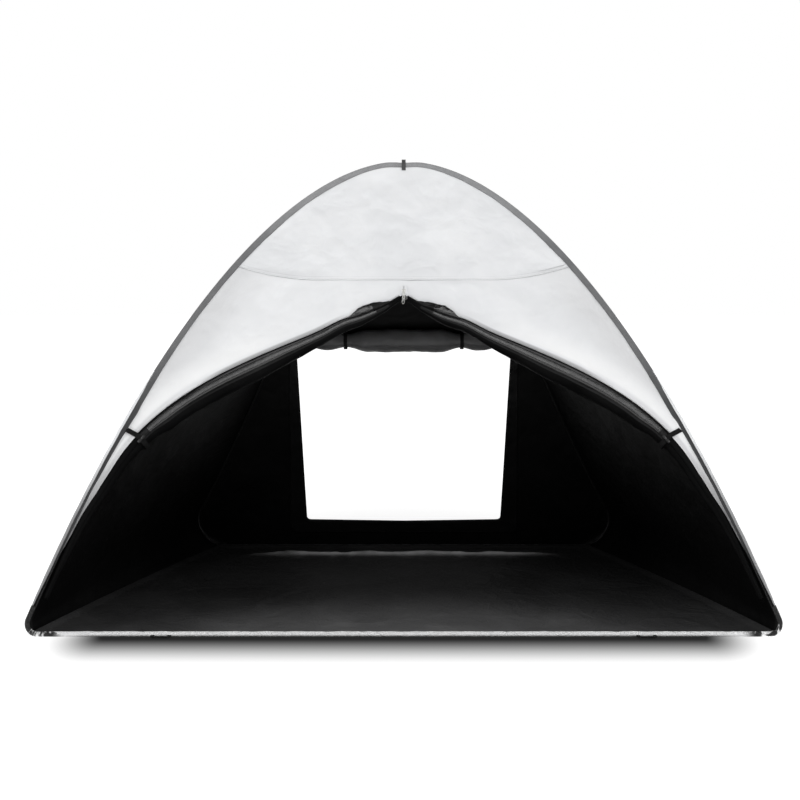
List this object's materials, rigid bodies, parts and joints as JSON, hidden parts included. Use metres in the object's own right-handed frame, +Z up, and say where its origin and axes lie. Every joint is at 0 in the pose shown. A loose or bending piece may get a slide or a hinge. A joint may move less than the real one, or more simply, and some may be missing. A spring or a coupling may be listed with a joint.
{
  "type": "beach tent",
  "caption": "Pop-up beach tent: two leaning spring-wire hoops bound at the crown, cloth panels, groundsheet, rolled door leaves and a rear window with a rolled cover.",
  "frame": {"origin": "on the ground, midway between the front and rear foot lines and midway across the tent", "axes": "+X to the right when looking into the door, -Y out of the door, +Z up"},
  "size_m": [2, 1.2446, 1.306],
  "materials": {
    "white_cloth": "white coated polyester, soft sheen",
    "black_cloth": "black polyester, soft sheen",
    "floor_cloth": "dark coated groundsheet, creased and slightly glossy",
    "silver_cloth": "silver-coated polyester, crinkled",
    "grey_webbing": "mid-grey woven binding, matt",
    "black_webbing": "black woven tape, matt",
    "spring_steel": "oiled spring wire",
    "bright_metal": "bright plated",
    "black_plastic": "moulded, satin"
  },
  "bodies": {
    "front_frame": {"front_hoop_wire": "spring_steel", "front_wire_ferrule": "bright_metal", "front_arch_sleeve": "grey_webbing", "front_foot_sleeve": "silver_cloth", "front_panel_upper": "white_cloth", "front_panel_lower": "white_cloth", "opening_binding_left": "black_webbing", "opening_binding_right": "black_webbing", "side_panel_left": "white_cloth", "side_panel_right": "white_cloth", "groundsheet": "floor_cloth", "crown_tie": "black_webbing", "door_roll_left": "black_cloth", "door_roll_right": "black_cloth", "door_tie_left": "black_webbing", "door_tie_right": "black_webbing", "door_toggle_left": "black_plastic", "door_toggle_right": "black_plastic", "zip_tape": "black_webbing", "zip_slider": "bright_metal", "peg_loop_front_left": "black_webbing", "peg_loop_front_right": "black_webbing"},
    "rear_frame": {"rear_hoop_wire": "spring_steel", "rear_wire_ferrule": "bright_metal", "rear_arch_sleeve": "grey_webbing", "rear_foot_sleeve": "black_cloth", "rear_panel": "white_cloth", "window_border": "black_cloth", "window_cover_roll": "black_cloth", "window_tie_left": "black_webbing", "window_tie_right": "black_webbing", "peg_loop_rear_left": "black_webbing", "peg_loop_rear_right": "black_webbing"},
    "zip_pull": {"zip_pull": "bright_metal"}
  },
  "joints": [
    {"name": "hoop_fold", "type": "hinge", "parent": "front_frame", "child": "rear_frame", "pos_m": [0, 0.00568, 1.29235], "axis": [-1, 0, 0], "range_deg": [0, 38], "deforming": ["side_panel_left", "side_panel_right", "groundsheet"]},
    {"name": "zip_pull_swing", "type": "hinge", "parent": "front_frame", "child": "zip_pull", "pos_m": [0, -0.18917, 0.90495], "axis": [-1, 0, 0], "range_deg": [0, 160]}
  ]
}
